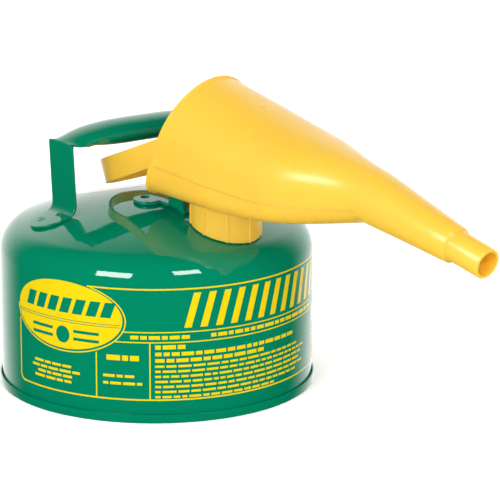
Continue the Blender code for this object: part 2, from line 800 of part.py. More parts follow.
def funnel_hoop():
    """A band from both sides of the mouth, round under the grip, which keeps the funnel from tipping."""
    rear = arc((0, 0), HOOP_RADIUS, math.radians(80), math.radians(280), 20)
    side = MOUTH_HALF_WIDTH - 0.001
    line = [(HOOP_REACH, side), *rear, (HOOP_REACH, -side)]
    hoop = plate("funnel_hoop", ribbon(line, FUNNEL_WALL), HOOP_HEIGHT, yellow, funnel_lift)
    hoop.rotation_euler = (0, -HOOP_TILT, 0)
    hoop.location = HOOP_CENTRE
    keep = mouth_block("behind_mouth", -GAP)
    boolean(hoop, keep, "INTERSECT")


for old in list(bpy.data.objects):
    bpy.data.objects.remove(old)

parts = new_collection("safety_gas_can")
cutters = new_collection("cutters")

green = paint("green_enamel", (0.0, 0.275, 0.150), 0.15)
yellow = paint("yellow_plastic", (1.0, 0.62, 0.03), 0.35)
steel = paint("plated_steel", (0.75, 0.74, 0.70), 0.30, 1.0)
rubber = paint("black_rubber", (0.02, 0.02, 0.02), 0.70)

can_axis = new_empty("can_axis", (CAN_X, 0, 0))
lid_pivot = new_empty("lid_pivot", (HINGE_X, 0, HINGE_Z), can_axis)
funnel_lift = new_empty("funnel_lift", (NECK_X, 0, 0), can_axis)

can_shell()
can_base()
spout_neck()
flame_arrester()
carrying_handle()
hinge_bracket()
hinge_pin()
lid_spring()
lid_cap()
disc_with_hole("lid_gasket", LIP_RADIUS - 0.0002, GASKET_BOTTOM, GASKET_BOTTOM + GASKET_SHEET, rubber)
disc_with_hole("gasket_washer", WASHER_RADIUS, GASKET_BOTTOM - GAP - WASHER_SHEET, GASKET_BOTTOM - GAP, steel)
lid_rivet()
lid_lever()
funnel_bell()
funnel_collar()
funnel_nozzle()
funnel_hoop()
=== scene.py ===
"""The looks of the safety gas can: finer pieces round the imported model, finishes, light, camera.

Metres, +Z up. Every shape is made from the can's own axis, which piece() then moves to X = CAN_X.
"""

import math
import random

import bmesh
import bpy
from mathutils import Matrix, Vector


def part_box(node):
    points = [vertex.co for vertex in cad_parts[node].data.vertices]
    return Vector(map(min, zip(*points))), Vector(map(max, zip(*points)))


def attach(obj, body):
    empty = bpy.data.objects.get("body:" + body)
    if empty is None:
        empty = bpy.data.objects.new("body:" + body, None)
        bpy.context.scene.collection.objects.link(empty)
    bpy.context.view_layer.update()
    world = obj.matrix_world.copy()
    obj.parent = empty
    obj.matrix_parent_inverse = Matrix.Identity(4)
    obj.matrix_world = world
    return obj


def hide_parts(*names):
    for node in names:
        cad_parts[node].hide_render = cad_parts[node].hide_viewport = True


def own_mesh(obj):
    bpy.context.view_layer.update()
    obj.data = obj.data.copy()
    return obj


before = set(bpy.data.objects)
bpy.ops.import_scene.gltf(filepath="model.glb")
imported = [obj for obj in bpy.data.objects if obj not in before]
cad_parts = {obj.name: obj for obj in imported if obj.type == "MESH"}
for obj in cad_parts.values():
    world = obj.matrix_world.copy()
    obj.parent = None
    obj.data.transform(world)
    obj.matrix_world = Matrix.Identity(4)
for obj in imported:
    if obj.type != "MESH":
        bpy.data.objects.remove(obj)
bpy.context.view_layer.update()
low_corner, high_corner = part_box("can_base")
CAN_X = (low_corner.x + high_corner.x) / 2

GAP = 0.0003

# The steel body
WALL_RADIUS = 0.1133
WALL_TOP = 0.0984
SHEET = 0.0008
KNUCKLE_RADIUS = 0.0219
CROWN_CENTRE_Z = -0.13615
KNUCKLE_CENTRE = (WALL_RADIUS - KNUCKLE_RADIUS, WALL_TOP)
CROWN_RADIUS = math.hypot(KNUCKLE_CENTRE[0], WALL_TOP - CROWN_CENTRE_Z) + KNUCKLE_RADIUS
CROWN_EDGE_ANGLE = math.atan2(KNUCKLE_CENTRE[0], WALL_TOP - CROWN_CENTRE_Z)
SEAM_HEIGHT = 0.0065
SEAM_SHEET = 0.0012
PAN_Z = 0.004
ROUND_SIDES = 192

# The spout's neck
NECK_X = 0.074
NECK_RADIUS = 0.022
NECK_SHEET = 0.0012
NECK_BOTTOM = 0.117
NECK_TOP = 0.158
LIP_RADIUS = 0.023
LIP_HEIGHT = 0.0028

# The hinge
HINGE_X = 0.0395
HINGE_Z = 0.161
PIN_RADIUS = 0.0025
EAR_MIDDLE = 0.0155
EAR_SHEET = 0.002
EAR_RADIUS = 0.006
BRACKET_SHEET = 0.0024
BRACKET_FRONT = 0.049
TAB_RADIUS = 0.0115
TAB_REACH = 0.0286
WELD_HOLE_RADIUS = 0.003

# The lid
LID_RADIUS = 0.0252
LID_SHEET = 0.0012
GASKET_SHEET = 0.0025
GASKET_BOTTOM = NECK_TOP + GAP
LID_UNDER = GASKET_BOTTOM + GASKET_SHEET + GAP
LEVER_SHEET = 0.0022
LEVER_WIDTH = 0.023
LEVER_Z = LID_UNDER + LID_SHEET + GAP + LEVER_SHEET / 2
RIVET_RADIUS = 0.0025
SPRING_X = 0.0285
SPRING_RADIUS = 0.0042
SPRING_WIRE = 0.0006
SPRING_TURNS = 5

# The carrying handle
HANDLE_X = -0.0175
HANDLE_Y = 0.0045
HANDLE_TURN = math.radians(82)
STRAP_HALF_WIDTH = 0.0155
STRAP_SHEET = 0.002
FOOT_CENTRE = 0.080
LEG_FOOT = 0.0686
LEG_HEAD = 0.0712
LEG_TOP = 0.1801
GRIP_TOP = 0.1912
FOOT_FADE_LOW = 0.132
FOOT_FADE_HIGH = 0.165
GRIP_START = 0.0704
GRIP_BLEND = 0.021
GRIP_ARCH = 3.4
FOOT_BEND = 0.008
HEAD_BEND = 0.0025
GRIP_HALF_DEPTH = 0.0079
GRIP_HALF_WIDTH = 0.0146
GRIP_SEAM_ANGLE = math.radians(164)
GRIP_SHEET_HALF = 0.030

# The funnel
FUNNEL_WALL = 0.002
MOUTH_BOTTOM = Vector((0.028, 0, 0.1470))
MOUTH_TOP = Vector((0.0660, 0, 0.2335))
MOUTH_HALF_WIDTH = 0.0402
BEAD = 0.0009
NOZZLE_START = Vector((0.222, 0, 0.1755))
NOZZLE_DROP = math.radians(14.2)
NOZZLE_RADIUS = 0.0188
STEP_RADIUS = 0.0127
STEP_AT = 0.077
TIP_RADIUS = 0.0105
TIP_AT = 0.1055
COLLAR_RADIUS = 0.0252
COLLAR_BORE = 0.0234
COLLAR_SLOT_HALF = 0.019
COLLAR_TOP = 0.1535
COLLAR_BOTTOM = CROWN_CENTRE_Z + CROWN_RADIUS - 0.027
COLLAR_TRIM = 0.0012
COLLAR_RIBS = 7
RIB_RADIUS = 0.0008
BELL_HALF_WIDTHS = ((0, MOUTH_HALF_WIDTH), (0.3, 0.0422), (0.58, 0.0402), (1, NOZZLE_RADIUS))
BELL_SAG = 0.0065
BELL_DIP = 0.0008
BELL_SQUARENESS = 5.0
BELL_ROUNDNESS = 2.0
BELL_SIDES = 144
BELL_STATIONS = 44
PARTING_ANGLE = math.radians(113.5)
HOOP_RADIUS = 0.0312
HOOP_CENTRE = Vector((-0.0112, 0, 0.1597))
HOOP_TILT = math.radians(21.5)
HOOP_HEIGHT = 0.0178
HOOP_REACH = 0.075

# The print, in metres round the wall from under the camera, and up it
PRINT_LIFT = 0.00012
PRINT_DEPTH = 0.00005
PRINT_COLUMN = 0.003
OVAL = (-0.0663, 0.0731, 0.0477, 0.0259)
DASH_SHORTEST = 0.0035
DASH_LONGEST = 0.010
DASH_GAP = 0.0014

# The camera, where it looks, and how far it stands round from the side and from the spout
CAMERA = Vector((1.4687, -1.3764, 0.6565))
TARGET = Vector((-0.0598, 0.0496, 0.0951))
LENS = 214.3
CAMERA_ROLL = math.radians(0.18)
CAMERA_TURN = math.radians(47)
CAMERA_TURN_FROM_FRONT = math.radians(90) - CAMERA_TURN

# The light. The strengths are those of the white around the object, as each kind of ray sees it
WHITE_SEEN = 1.05
WHITE_MIRRORED = 1.45
DARK_MIRRORED = 0.02
LIT_FROM_HORIZON = 1.66
LIT_FROM_OVERHEAD = 0.42
FLOOR_SEEN = 1.5
FLOOR_LIGHTING = 0.8
LAMP_DISTANCE = 2.0


# Finishes


def look(name, colour, roughness, metallic=0.0, coat=0.0, soft=0.0, mottle=0.04, grain=0.0):
    """A Principled finish whose colour and roughness vary a little, with a bump of this height."""
    material = bpy.data.materials.new(name)
    material.use_nodes = True
    tree = material.node_tree
    shader = tree.nodes["Principled BSDF"]
    shader.inputs["Metallic"].default_value = metallic
    shader.inputs["Specular IOR Level"].default_value = 0.5 * (1 - coat)
    shader.inputs["Coat Weight"].default_value = coat
    shader.inputs["Coat Roughness"].default_value = 0.025
    shader.inputs["Subsurface Weight"].default_value = soft
    shader.inputs["Subsurface Radius"].default_value = (1.0, 0.55, 0.15)
    shader.inputs["Subsurface Scale"].default_value = 0.012
    place = tree.nodes.new("ShaderNodeTexCoord")

    def noise(scale, detail):
        node = tree.nodes.new("ShaderNodeTexNoise")
        node.inputs["Scale"].default_value = scale
        node.inputs["Detail"].default_value = detail
        tree.links.new(place.outputs["Object"], node.inputs["Vector"])
        return node.outputs["Fac"]

    blotch = tree.nodes.new("ShaderNodeMix")
    blotch.data_type = "RGBA"
    blotch.inputs["A"].default_value = (*(c * (1 - mottle) for c in colour), 1)
    blotch.inputs["B"].default_value = (*(min(c * (1 + mottle), 1) for c in colour), 1)
    tree.links.new(noise(22, 3), blotch.inputs["Factor"])
    tree.links.new(blotch.outputs["Result"], shader.inputs["Base Color"])

    spread = tree.nodes.new("ShaderNodeMapRange")
    spread.inputs["To Min"].default_value = roughness * 0.8
    spread.inputs["To Max"].default_value = roughness * 1.2
    tree.links.new(noise(60, 4), spread.inputs["Value"])
    tree.links.new(spread.outputs["Result"], shader.inputs["Roughness"])

    if grain:
        bump = tree.nodes.new("ShaderNodeBump")
        bump.inputs["Distance"].default_value = grain
        bump.inputs["Strength"].default_value = 0.5
        tree.links.new(noise(420, 2), bump.inputs["Height"])
        tree.links.new(bump.outputs["Normal"], shader.inputs["Normal"])
        tree.links.new(bump.outputs["Normal"], shader.inputs["Coat Normal"])
    return material


GREEN = look("green_enamel", (0.0, 0.184, 0.094), 0.28, coat=1.0, grain=0.00005)
YELLOW = look("yellow_plastic", (1.0, 0.50, 0.05), 0.30, soft=0.5, grain=0.00003)
STEEL = look("plated_steel", (0.72, 0.71, 0.68), 0.28, metallic=1.0, mottle=0.08, grain=0.00002)
RUBBER = look("black_rubber", (0.02, 0.02, 0.02), 0.7, mottle=0.3, grain=0.00004)
LOOKS = {
    "green_enamel": GREEN,
    "yellow_plastic": YELLOW,
    "plated_steel": STEEL,
    "black_rubber": RUBBER,
}
PRINT = look("yellow_print", (0.72, 0.54, 0.006), 0.28, coat=1.0)
PATCH = look("cream_print", (0.74, 0.69, 0.42), 0.4, coat=0.8)


# Ways to make a piece


def piece(name, mesh, slot, body, *nodes, material=None, sharp=32):
    """Places a mesh, which rides on a body and stands for these CAD nodes."""
    mesh.name = name
    mesh.transform(Matrix.Translation((CAN_X, 0, 0)))
    mesh.materials.clear()
    mesh.materials.append(material or LOOKS[slot])
    mesh.polygons.foreach_set("use_smooth", [True] * len(mesh.polygons))
    mesh.set_sharp_from_angle(angle=math.radians(sharp))
    obj = bpy.data.objects.new(name, mesh)
    bpy.context.scene.collection.objects.link(obj)
    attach(obj, body)
    if nodes:
        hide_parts(*nodes)
    return obj


def mesh_of(shape):
    """A mesh from a bmesh, which it frees, with every face turned outwards."""
    bmesh.ops.recalc_face_normals(shape, faces=shape.faces)
    mesh = bpy.data.meshes.new("mesh")
    shape.to_mesh(mesh)
    shape.free()
    return mesh


def moved(mesh, *matrices):
    for matrix in matrices:
        mesh.transform(matrix)
    return mesh


def shift(x, y, z):
    return Matrix.Translation((x, y, z))


def turn(degrees, axis):
    return Matrix.Rotation(math.radians(degrees), 4, axis)


def arc(centre, radius, start, end, steps):
    """Points on an arc in a plane, its angles in degrees from the first axis towards the second."""
    angles = [math.radians(start + (end - start) * i / steps) for i in range(steps + 1)]
    return [(centre[0] + radius * math.cos(a), centre[1] + radius * math.sin(a)) for a in angles]


def eased(points, reach, closed):
    """A line whose corners are rounded, each starting this far from it."""
    line = []
    for i, point in enumerate(points):
        ends = not closed and i in (0, len(points) - 1)
        point = Vector(point)
        back = Vector(points[i - 1]) - point
        on = Vector(points[(i + 1) % len(points)]) - point
        if ends or back.angle(-on) < math.radians(14):
            line.append(tuple(point))
            continue
        near = min(reach, back.length * 0.48, on.length * 0.48)
        start = point + back.normalized() * near
        end = point + on.normalized() * near
        for t in (0, 0.33, 0.67, 1):
            line.append(tuple(start.lerp(point, t).lerp(point.lerp(end, t), t)))
    return line


def turned(profile, ease, steps):
    """(radius, height) points turned about Z, their corners eased.

    A profile that starts on the axis ends on it, and any other one closes on itself.
    """
    closed = profile[0][0] > 0
    shape = bmesh.new()
    rings = []
    for radius, height in eased(profile, ease, closed):
        count = steps if radius > 1e-7 else 1
        angles = [2 * math.pi * i / steps for i in range(count)]
        ring = [(radius * math.cos(a), radius * math.sin(a), height) for a in angles]
        rings.append([shape.verts.new(p) for p in ring])
    for first, second in zip(rings, rings[1:] + rings[:1]):
        if len(first) == len(second) == 1:
            continue
        for i in range(steps):
            j = i + 1
            corners = [first[i % len(first)], second[i % len(second)]]
            corners += [second[j % len(second)], first[j % len(first)]]
            shape.faces.new(list(dict.fromkeys(corners)))
    return mesh_of(shape)


def loft(rings, looped):
    """A skin through rings of points. The rings make a loop, or the two end rings are capped."""
    shape = bmesh.new()
    loops = [[shape.verts.new(p) for p in ring] for ring in rings]
    pairs = list(zip(loops, loops[1:]))
    if looped:
        pairs.append((loops[-1], loops[0]))
    else:
        shape.faces.new(loops[0])
        shape.faces.new(loops[-1])
    for first, second in pairs:
        for i in range(len(first)):
            j = (i + 1) % len(first)
            shape.faces.new((first[i], first[j], second[j], second[i]))
    return mesh_of(shape)


def from_curve(curve):
    """The solid that a curve makes, its seams welded."""
    helper = bpy.data.objects.new("helper", curve)
    bpy.context.scene.collection.objects.link(helper)
    graph = bpy.context.evaluated_depsgraph_get()
    mesh = bpy.data.meshes.new_from_object(helper.evaluated_get(graph))
    bpy.data.objects.remove(helper)
    shape = bmesh.new()
    shape.from_mesh(mesh)
    bmesh.ops.remove_doubles(shape, verts=shape.verts, dist=0.000005)
    return mesh_of(shape)


def plate(outlines, thickness, edge=0.0004):
    """Flat outlines in XY, holes among them, extruded to both sides of Z = 0 with rounded edges."""
    curve = bpy.data.curves.new("outline", "CURVE")
    curve.dimensions = "2D"
    curve.fill_mode = "BOTH"
    curve.extrude = thickness / 2 - edge
    curve.bevel_depth = edge
    curve.bevel_resolution = 2
    curve.offset = -edge
    for points in outlines:
        spline = curve.splines.new("POLY")
        spline.points.add(len(points) - 1)
        spline.use_cyclic_u = True
        for point, (x, y) in zip(spline.points, points):
            point.co = (x, y, 0, 1)
    return from_curve(curve)


def wire(points, radius):
    """A round wire through points."""
    curve = bpy.data.curves.new("wire", "CURVE")
    curve.dimensions = "3D"
    curve.bevel_depth = radius
    curve.bevel_resolution = 3
    curve.use_fill_caps = True
    spline = curve.splines.new("POLY")
    spline.points.add(len(points) - 1)
    for point, spot in zip(spline.points, points):
        point.co = (*spot, 1)
    return from_curve(curve)


def box(low, high):
    shape = bmesh.new()
    bmesh.ops.create_cube(shape, size=1)
    size = Vector(high) - Vector(low)
    bmesh.ops.scale(shape, vec=size, verts=shape.verts)
    bmesh.ops.translate(shape, vec=Vector(low) + size / 2, verts=shape.verts)
    return mesh_of(shape)


def rod(radius, length, sides=48):
    """A cylinder along Z, centred on the origin."""
    shape = bmesh.new()
    bmesh.ops.create_cone(
        shape, cap_ends=True, segments=sides, radius1=radius, radius2=radius, depth=length
    )
    return mesh_of(shape)


def boolean(mesh, other, operation="DIFFERENCE"):
    """The first mesh with the other taken from it, joined to it, or common to both."""
    objs = [bpy.data.objects.new("operand", m) for m in (mesh, other)]
    for obj in objs:
        bpy.context.scene.collection.objects.link(obj)
    modifier = objs[0].modifiers.new("Boolean", "BOOLEAN")
    modifier.operation = operation
    modifier.solver = "EXACT"
    modifier.object = objs[1]
    graph = bpy.context.evaluated_depsgraph_get()
    result = bpy.data.meshes.new_from_object(objs[0].evaluated_get(graph))
    for obj in objs:
        bpy.data.objects.remove(obj)
    return result


def ribbon(line, thickness):
    """The outline of a sheet of this thickness along a line in a plane, its ends rounded."""
    points = [Vector(p) for p in line]
    sides = ([], [])
    for i, point in enumerate(points):
        along = points[min(i + 1, len(points) - 1)] - points[max(i - 1, 0)]
        across = Vector((-along.y, along.x)).normalized() * thickness / 2
        if i in (0, len(points) - 1):
            inward = -along.normalized() if i else along.normalized()
            tucked = point + inward * thickness * 0.22
            pairs = [(tucked, 1), (point + inward * thickness * 0.07, 0.86), (point, 0.5)]
            for spot, share in pairs if i else pairs[::-1]:
                sides[0].append(tuple(spot + across * share))
                sides[1].append(tuple(spot - across * share))
        else:
            sides[0].append(tuple(point + across))
            sides[1].append(tuple(point - across))
    return sides[0] + sides[1][::-1]


def rounded_line(corners, radius):
    """A line through corners, each of which but the two ends is an arc of this radius."""
    steps = 8
    corners = [Vector(c) for c in corners]
    line = [corners[0]]
    for before, corner, after in zip(corners, corners[1:], corners[2:]):
        back = (before - corner).normalized()
        on = (after - corner).normalized()
        half = back.angle(on) / 2
        reach = radius / math.tan(half)
        centre = corner + (back + on).normalized() * radius / math.sin(half)
        start = corner + back * reach - centre
        end = corner + on * reach - centre
        line += [centre + start.slerp(end, i / steps) * radius for i in range(steps + 1)]
    return line + [corners[-1]]


def crown_height(x, y, lift=0.0):
    """The height of the can's domed top over a place, or of a surface this far off it."""
    return CROWN_CENTRE_Z + math.sqrt((CROWN_RADIUS + lift) ** 2 - x * x - y * y)


def draped(mesh, lift, cell=0.004):
    """Bends a flat plate, modelled round Z = 0, over the dome, this far off it."""
    shape = bmesh.new()
    shape.from_mesh(mesh)
    for axis in (Vector((1, 0, 0)), Vector((0, 1, 0))):
        for i in range(-26, 27):
            everything = list(shape.verts) + list(shape.edges) + list(shape.faces)
            bmesh.ops.bisect_plane(shape, geom=everything, plane_co=axis * cell * i, plane_no=axis)
    for vert in shape.verts:
        vert.co.z += crown_height(vert.co.x, vert.co.y, lift)
    return mesh_of(shape)


# The steel body


def domed_top(inset):
    """The profile of the crown and the knuckle round it, this far under their outer face."""
    radius = CROWN_RADIUS - inset
    steps = 24
    angles = [CROWN_EDGE_ANGLE * i / steps for i in range(steps)]
    crown = [(radius * math.sin(a), CROWN_CENTRE_Z + radius * math.cos(a)) for a in angles]
    edge = 90 - math.degrees(CROWN_EDGE_ANGLE)
    return crown + arc(KNUCKLE_CENTRE, KNUCKLE_RADIUS - inset, edge, 0, 20)


def can_shell():
    """Wall, knuckle and crown in one sheet, with the hole for the neck."""
    foot = SEAM_SHEET + GAP
    outer = [*domed_top(0), (WALL_RADIUS, 0.05), (WALL_RADIUS, foot)]
    inner = [*domed_top(SHEET), (WALL_RADIUS - SHEET, foot)]
    shell = turned(outer + inner[::-1], 0.0002, ROUND_SIDES)
    hole = moved(rod(NECK_RADIUS + GAP, 0.06), shift(NECK_X, 0, WALL_TOP + KNUCKLE_RADIUS))
    piece("body_shell", boolean(shell, hole), "green_enamel", "can", "can_shell")


def can_base():
    """The bottom pan, rolled round the foot of the wall."""
    outer = WALL_RADIUS + GAP + SEAM_SHEET
    inner = WALL_RADIUS - SHEET - GAP
    well = inner - SEAM_SHEET
    profile = [
        (0, PAN_Z + SHEET),
        (well - 0.0007, PAN_Z + SHEET),
        (well, PAN_Z + SHEET + 0.0007),
        (well, SEAM_HEIGHT - 0.0007),
        (inner, SEAM_HEIGHT - 0.0007),
        (inner, SEAM_SHEET),
        (outer - SEAM_SHEET, SEAM_SHEET),
        (outer - SEAM_SHEET, SEAM_HEIGHT),
        (outer, SEAM_HEIGHT),
        (outer, 0),
        (well, 0),
        (well - 0.0005, PAN_Z),
        (0, PAN_Z),
    ]
    base = turned(profile, 0.0011, ROUND_SIDES)
    piece("body_seam", base, "green_enamel", "can", "can_base")


def near_dome(height):
    """How far the strap follows the dome's slope at this height, from 1 on its feet to 0."""
    share = (FOOT_FADE_HIGH - height) / (FOOT_FADE_HIGH - FOOT_FADE_LOW)
    return min(max(share, 0), 1)


def handle_line(way):
    """The strap's middle line over one half, from the tip of its foot to the middle of the grip."""
    spin = Matrix.Rotation(HANDLE_TURN, 2)

    def foot(along):
        spot = spin @ Vector((way * along, 0))
        height = crown_height(HANDLE_X + spot.x, HANDLE_Y + spot.y, GAP + STRAP_SHEET / 2)
        return Vector((along, height))

    # The middle stretch, from the leg's head to just short of the grip's middle
    stations = [0.0665 - 0.00175 * i for i in range(38)]
    round_end = [math.radians(a) for a in range(84, 2, -7)]
    feet = [foot(FOOT_CENTRE + STRAP_HALF_WIDTH * math.sin(a)) for a in round_end]
    rise = GRIP_TOP - LEG_TOP
    arch = [Vector((x, GRIP_TOP - rise * (x / LEG_HEAD) ** GRIP_ARCH)) for x in stations]
    corners = [feet[-1], foot(LEG_FOOT), Vector((LEG_HEAD, LEG_TOP)), arch[0]]
    foot_bend = rounded_line(corners[:3], FOOT_BEND)
    head_bend = rounded_line(corners[1:], HEAD_BEND)
    leg = [foot_bend[-2].lerp(head_bend[1], i / 7) for i in range(1, 7)]
    return feet[:-1] + foot_bend[:-1] + leg + head_bend[1:] + arch[1:]


def handle_section(rolled, half_width, most_depth):
    """The outline of the sheet across the strap, from flat to rolled into the grip."""
    points = 41
    wrap = max(rolled, 0.001) * GRIP_SEAM_ANGLE
    reach = half_width + (GRIP_SHEET_HALF - half_width) * rolled
    curl = (1 - rolled) * wrap / reach
    across = 1 / (curl + rolled / GRIP_HALF_WIDTH)
    down = min(1 / (curl + rolled / GRIP_HALF_DEPTH), most_depth / (1 - math.cos(wrap)))
    angles = [(2 * i / (points - 1) - 1) * wrap for i in range(points)]
    line = [(across * math.sin(a), down * (math.cos(a) - 1)) for a in angles]
    return ribbon(line, STRAP_SHEET)


def carrying_handle():
    """A steel strap with welded feet, its middle rolled down at both edges into the grip."""
    spin = Matrix.Rotation(HANDLE_TURN, 3, "Z")
    middle = Vector((HANDLE_X, HANDLE_Y, 0))

    def ring(point, travel, way):
        outward = Vector((travel.y, -travel.x)).normalized()
        on_foot = point.y < FOOT_FADE_LOW and point.x > FOOT_CENTRE
        past = point.x - FOOT_CENTRE if on_foot else 0
        half_width = math.sqrt(STRAP_HALF_WIDTH**2 - past**2)
        rolled = 0
        if point.x < GRIP_START and point.y > LEG_TOP - STRAP_SHEET:
            rolled = 1 - max(1 - (GRIP_START - point.x) / GRIP_BLEND, 0) ** 1.5
        share = min(point.x / LEG_HEAD, 1) ** GRIP_ARCH
        most_depth = 2 * GRIP_HALF_DEPTH * (1 - share)
        centre = middle + spin @ Vector((way * point.x, 0, 0))
        level = crown_height(centre.x, centre.y)
        spots = []
        for side, drop in handle_section(rolled, half_width, most_depth):
            spot = point + outward * drop
            place = middle + spin @ Vector((way * spot.x, side, spot.y))
            edge = middle + spin @ Vector((way * point.x, side, 0))
            place.z += near_dome(point.y) * (crown_height(edge.x, edge.y) - level)
            spots.append(place)
        return spots

    rings = []
    for way in (-1, 1):
        line = handle_line(way) + [Vector((0, GRIP_TOP))]
        half = [
            ring(point, line[min(i + 1, len(line) - 1)] - line[max(i - 1, 0)], way)
            for i, point in enumerate(line)
        ]
        rings += half if way < 0 else half[-2::-1]
    strap = loft(rings, looped=False)
    piece("handle_strap", strap, "green_enamel", "can", "carrying_handle", sharp=50)


def weld_marks():
    """Two pressed marks in each foot of the handle, where it was spot welded."""
    profile = [
        (0, 0.00002),
        (0.0012, 0.00005),
        (0.0020, 0.00045),
        (0.0026, 0.00045),
        (0.0032, -0.0001),
        (0, -0.0001),
    ]
    spin = Matrix.Rotation(HANDLE_TURN, 3, "Z")
    for way in (-1, 1):
        for i, (along, across) in enumerate(((0.0862, 0.0042), (0.0758, -0.0036))):
            spot = Vector((HANDLE_X, HANDLE_Y, 0)) + spin @ Vector((way * along, across, 0))
            spot.z = crown_height(spot.x, spot.y, GAP + STRAP_SHEET)
            normal = spot - Vector((0, 0, CROWN_CENTRE_Z))
            lie = normal.to_track_quat("Z", "Y").to_matrix().to_4x4()
            mark = moved(turned(profile, 0.0002, 24), lie, shift(*spot))
            piece(f"weld_mark_{'near' if way < 0 else 'far'}_{i}", mark, "green_enamel", "can")


def spout_neck():
    """The tube that the lid closes, with a lip at its top."""
    inner = NECK_RADIUS - NECK_SHEET
    profile = [
        (inner, NECK_TOP),
        (LIP_RADIUS, NECK_TOP),
        (LIP_RADIUS, NECK_TOP - LIP_HEIGHT + 0.0010),
        (NECK_RADIUS, NECK_TOP - LIP_HEIGHT),
        (NECK_RADIUS, NECK_BOTTOM),
        (inner, NECK_BOTTOM),
    ]
    neck = moved(turned(profile, 0.0005, 96), shift(NECK_X, 0, 0))
    piece("neck_tube", neck, "green_enamel", "can", "spout_neck")


def hinge_bracket():
    """The plate with its two tabs, bent over the dome, and the two ears that hold the pin."""
    back = TAB_REACH - TAB_RADIUS
    half = EAR_MIDDLE + EAR_SHEET / 2
    right = arc((TAB_RADIUS, -back), TAB_RADIUS, 0, -180, 36)
    left = arc((TAB_RADIUS, back), TAB_RADIUS, 180, 0, 36)
    outline = [(BRACKET_FRONT, -half), (2 * TAB_RADIUS, -half), *right, *left]
    outline += [(2 * TAB_RADIUS, half), (BRACKET_FRONT, half)]
    centres = [(TAB_RADIUS - 0.0032, side * (back + 0.0011)) for side in (-1, 1)]
    holes = [arc(c, WELD_HOLE_RADIUS, 360, 0, 28)[:-1] for c in centres]
    flat = plate([outline, *holes], BRACKET_SHEET, 0.0006)
    over = draped(flat, GAP + BRACKET_SHEET / 2)
    piece("bracket_plate", over, "green_enamel", "can", "hinge_bracket", sharp=40)

    low = crown_height(0.040, half, GAP)
    for name, side in (("right", -1), ("left", 1)):
        top = arc((HINGE_X, HINGE_Z), EAR_RADIUS, -20, 190, 28)
        outline = [(0.031, low + 0.0012), (BRACKET_FRONT - 0.001, low), *top]
        bore = arc((HINGE_X, HINGE_Z), PIN_RADIUS + GAP, 360, 0, 28)[:-1]
        ear = plate([outline, bore], EAR_SHEET)
        moved(ear, turn(90, "X"), shift(0, side * EAR_MIDDLE, 0))
        piece(f"bracket_ear_{name}", ear, "green_enamel", "can", sharp=40)


def hinge_pin():
    """The headed pin through the ears, and the ring pushed onto its plain end."""
    ears = EAR_MIDDLE + EAR_SHEET / 2
    head = ears + GAP + 0.0012
    pin = [
        (0, head),
        (PIN_RADIUS + 0.0012, head),
        (PIN_RADIUS + 0.0012, ears + GAP),
        (PIN_RADIUS, ears + GAP),
        (PIN_RADIUS, -ears - 0.0025),
        (0, -ears - 0.0025),
    ]
    retainer = [
        (PIN_RADIUS + 0.0014, -ears - GAP),
        (PIN_RADIUS + 0.0014, -ears - GAP - 0.0008),
        (PIN_RADIUS + GAP, -ears - GAP - 0.0014),
        (PIN_RADIUS + GAP, -ears - GAP),
    ]
    for name, profile, node in (("pin", pin, "hinge_pin"), ("pin_ring", retainer, "pin_retainer")):
        mesh = moved(turned(profile, 0.0005, 48), turn(90, "X"), shift(HINGE_X, 0, HINGE_Z))
        piece(name, mesh, "plated_steel", "can", node)


def lid_spring():
    """The spring between the bracket and the lever's tail, which shortens as the lid opens."""
    low = crown_height(SPRING_X, SPRING_RADIUS, 0.001 + GAP + BRACKET_SHEET) + SPRING_WIRE
    high = LEVER_Z - LEVER_SHEET / 2 - GAP - SPRING_WIRE
    steps = 28 * SPRING_TURNS
    points = []
    for i in range(steps + 1):
        share = i / steps
        angle = 2 * math.pi * SPRING_TURNS * share
        across = SPRING_X + SPRING_RADIUS * math.cos(angle)
        points.append((across, SPRING_RADIUS * math.sin(angle), low + (high - low) * share))
    coil = piece("spring_coil", wire(points, SPRING_WIRE), "plated_steel", "can", "lid_spring")
    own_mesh(coil)


# The lid


